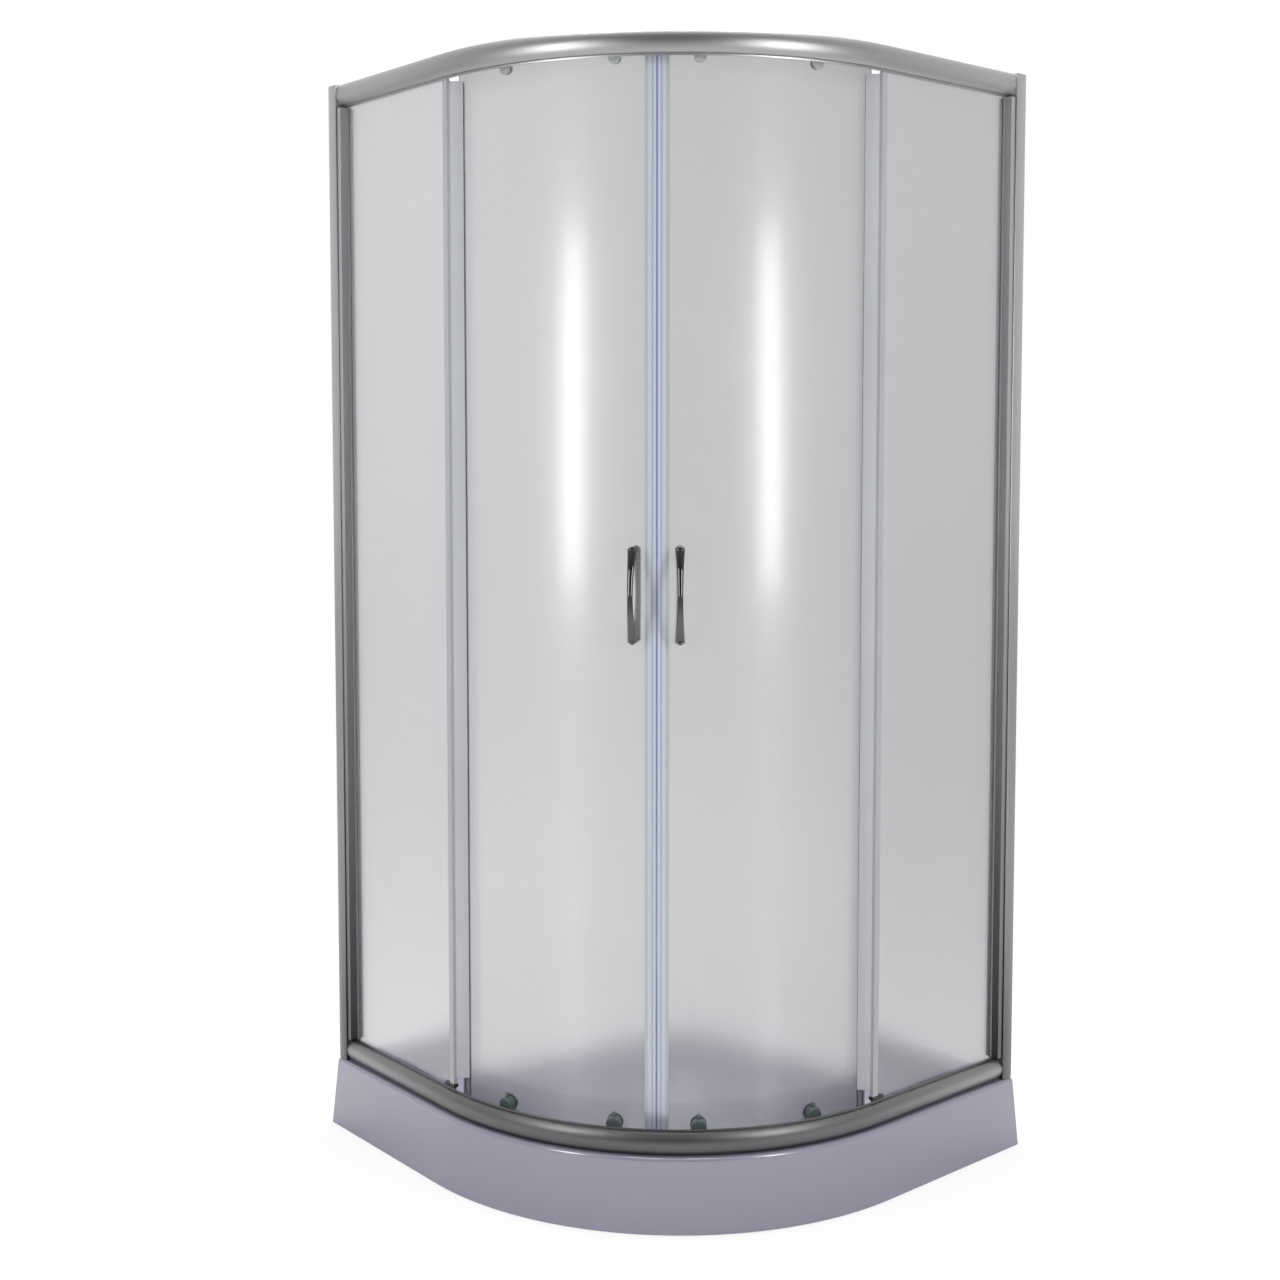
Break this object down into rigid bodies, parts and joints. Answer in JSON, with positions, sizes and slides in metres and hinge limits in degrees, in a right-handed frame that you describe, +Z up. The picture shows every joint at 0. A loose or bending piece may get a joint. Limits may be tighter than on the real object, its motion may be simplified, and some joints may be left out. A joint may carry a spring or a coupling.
{
  "type": "quadrant shower enclosure",
  "caption": "Quadrant shower enclosure with a low curved tray, two fixed frosted panes and two curved frosted doors that slide apart on rollers in aluminium rails.",
  "frame": {"origin": "on the floor, in the middle of the square that the tray fills", "axes": "+Z up; the walls are the planes at -X and +Y; the curved front bows towards +X and -Y"},
  "size_m": [0.9, 0.9, 1.925],
  "materials": {
    "tray": "gloss",
    "steel": "satin",
    "black_rubber": "matt",
    "chrome": "polished",
    "grey_plastic": "satin",
    "aluminium": "satin",
    "frosted_glass": "frosted",
    "clear_seal": "satin",
    "dark_plastic": "satin",
    "magnet": "matt",
    "wheel_plastic": "satin"
  },
  "bodies": {
    "frame": {"tray_shell": "tray", "tray_frame": "steel", "foot_studs": "steel", "foot_nuts": "steel", "rail_screws": "steel", "profile_screws": "steel", "foot_pads": "black_rubber", "glass_gaskets": "black_rubber", "door_stops": "black_rubber", "drain_cover": "chrome", "drain_trap": "grey_plastic", "rail_connectors": "grey_plastic", "lower_rail": "aluminium", "upper_rail": "aluminium", "left_wall_profile": "aluminium", "right_wall_profile": "aluminium", "left_glass_stile": "aluminium", "right_glass_stile": "aluminium", "left_fixed_glass": "frosted_glass", "right_fixed_glass": "frosted_glass", "fixed_edge_seals": "clear_seal", "glass_clips": "dark_plastic"},
    "left_door": {"left_door_glass": "frosted_glass", "left_magnetic_seal": "clear_seal", "left_magnet": "magnet", "left_trailing_seal": "clear_seal", "left_handle_outer": "chrome", "left_handle_inner": "chrome", "left_handle_screws": "steel", "left_top_hangers": "grey_plastic", "left_roller_caps": "grey_plastic", "left_bottom_housings": "grey_plastic", "left_bottom_washers": "dark_plastic", "left_spring_front": "steel", "left_spring_rear": "steel"},
    "left_upper_front_wheel": {"left_top_wheel_front": "wheel_plastic"},
    "left_front_release": {"left_release_front": "grey_plastic"},
    "left_lower_front_wheel": {"left_bottom_wheel_front": "wheel_plastic"},
    "left_upper_rear_wheel": {"left_top_wheel_rear": "wheel_plastic"},
    "left_rear_release": {"left_release_rear": "grey_plastic"},
    "left_lower_rear_wheel": {"left_bottom_wheel_rear": "wheel_plastic"},
    "right_door": {"right_door_glass": "frosted_glass", "right_magnetic_seal": "clear_seal", "right_magnet": "magnet", "right_trailing_seal": "clear_seal", "right_handle_outer": "chrome", "right_handle_inner": "chrome", "right_handle_screws": "steel", "right_top_hangers": "grey_plastic", "right_roller_caps": "grey_plastic", "right_bottom_housings": "grey_plastic", "right_bottom_washers": "dark_plastic", "right_spring_front": "steel", "right_spring_rear": "steel"},
    "right_upper_front_wheel": {"right_top_wheel_front": "wheel_plastic"},
    "right_front_release": {"right_release_front": "grey_plastic"},
    "right_lower_front_wheel": {"right_bottom_wheel_front": "wheel_plastic"},
    "right_upper_rear_wheel": {"right_top_wheel_rear": "wheel_plastic"},
    "right_rear_release": {"right_release_rear": "grey_plastic"},
    "right_lower_rear_wheel": {"right_bottom_wheel_rear": "wheel_plastic"}
  },
  "joints": [
    {"name": "left_door_slide", "type": "hinge", "parent": "frame", "child": "left_door", "pos_m": [-0.112, 0.112, 1], "axis": [0, 0, 1], "range_deg": [-23, 0]},
    {"name": "left_upper_front_wheel_spin", "type": "hinge", "parent": "left_door", "child": "left_upper_front_wheel", "pos_m": [0.20057, -0.30032, 1.9068], "axis": [0.6004, -0.7997, 0], "continuous": true},
    {"name": "left_front_release_pull", "type": "slide", "parent": "left_door", "child": "left_front_release", "axis": [0, 0, 1], "range_m": [0, 0.007], "stiffness_N_per_m": 400, "springref_m": -0.008, "deforming": ["left_spring_front"]},
    {"name": "left_lower_front_wheel_spin", "type": "hinge", "parent": "left_front_release", "child": "left_lower_front_wheel", "pos_m": [0.20057, -0.30032, 0.1355], "axis": [0.6004, -0.7997, 0], "continuous": true},
    {"name": "left_upper_rear_wheel_spin", "type": "hinge", "parent": "left_door", "child": "left_upper_rear_wheel", "pos_m": [0.01814, -0.38646, 1.9068], "axis": [0.236, -0.9718, 0], "continuous": true},
    {"name": "left_rear_release_pull", "type": "slide", "parent": "left_door", "child": "left_rear_release", "axis": [0, 0, 1], "range_m": [0, 0.007], "stiffness_N_per_m": 400, "springref_m": -0.008, "deforming": ["left_spring_rear"]},
    {"name": "left_lower_rear_wheel_spin", "type": "hinge", "parent": "left_rear_release", "child": "left_lower_rear_wheel", "pos_m": [0.01814, -0.38646, 0.1355], "axis": [0.236, -0.9718, 0], "continuous": true},
    {"name": "right_door_slide", "type": "hinge", "parent": "frame", "child": "right_door", "pos_m": [-0.112, 0.112, 1], "axis": [0, 0, 1], "range_deg": [0, 23]},
    {"name": "right_upper_front_wheel_spin", "type": "hinge", "parent": "right_door", "child": "right_upper_front_wheel", "pos_m": [0.30032, -0.20057, 1.9068], "axis": [0.7997, -0.6004, 0], "continuous": true},
    {"name": "right_front_release_pull", "type": "slide", "parent": "right_door", "child": "right_front_release", "axis": [0, 0, 1], "range_m": [0, 0.007], "stiffness_N_per_m": 400, "springref_m": -0.008, "deforming": ["right_spring_front"]},
    {"name": "right_lower_front_wheel_spin", "type": "hinge", "parent": "right_front_release", "child": "right_lower_front_wheel", "pos_m": [0.30032, -0.20057, 0.1355], "axis": [0.7997, -0.6004, 0], "continuous": true},
    {"name": "right_upper_rear_wheel_spin", "type": "hinge", "parent": "right_door", "child": "right_upper_rear_wheel", "pos_m": [0.38646, -0.01814, 1.9068], "axis": [0.9718, -0.236, 0], "continuous": true},
    {"name": "right_rear_release_pull", "type": "slide", "parent": "right_door", "child": "right_rear_release", "axis": [0, 0, 1], "range_m": [0, 0.007], "stiffness_N_per_m": 400, "springref_m": -0.008, "deforming": ["right_spring_rear"]},
    {"name": "right_lower_rear_wheel_spin", "type": "hinge", "parent": "right_rear_release", "child": "right_lower_rear_wheel", "pos_m": [0.38646, -0.01814, 0.1355], "axis": [0.9718, -0.236, 0], "continuous": true}
  ],
  "couplings": [
    {"joint": "left_upper_front_wheel_spin", "follows": "left_door_slide", "ratio": -51.741},
    {"joint": "left_lower_front_wheel_spin", "follows": "left_door_slide", "ratio": -60.871},
    {"joint": "left_upper_rear_wheel_spin", "follows": "left_door_slide", "ratio": -51.517},
    {"joint": "left_lower_rear_wheel_spin", "follows": "left_door_slide", "ratio": -60.608},
    {"joint": "right_upper_front_wheel_spin", "follows": "right_door_slide", "ratio": -51.741},
    {"joint": "right_lower_front_wheel_spin", "follows": "right_door_slide", "ratio": -60.871},
    {"joint": "right_upper_rear_wheel_spin", "follows": "right_door_slide", "ratio": -51.517},
    {"joint": "right_lower_rear_wheel_spin", "follows": "right_door_slide", "ratio": -60.608}
  ]
}
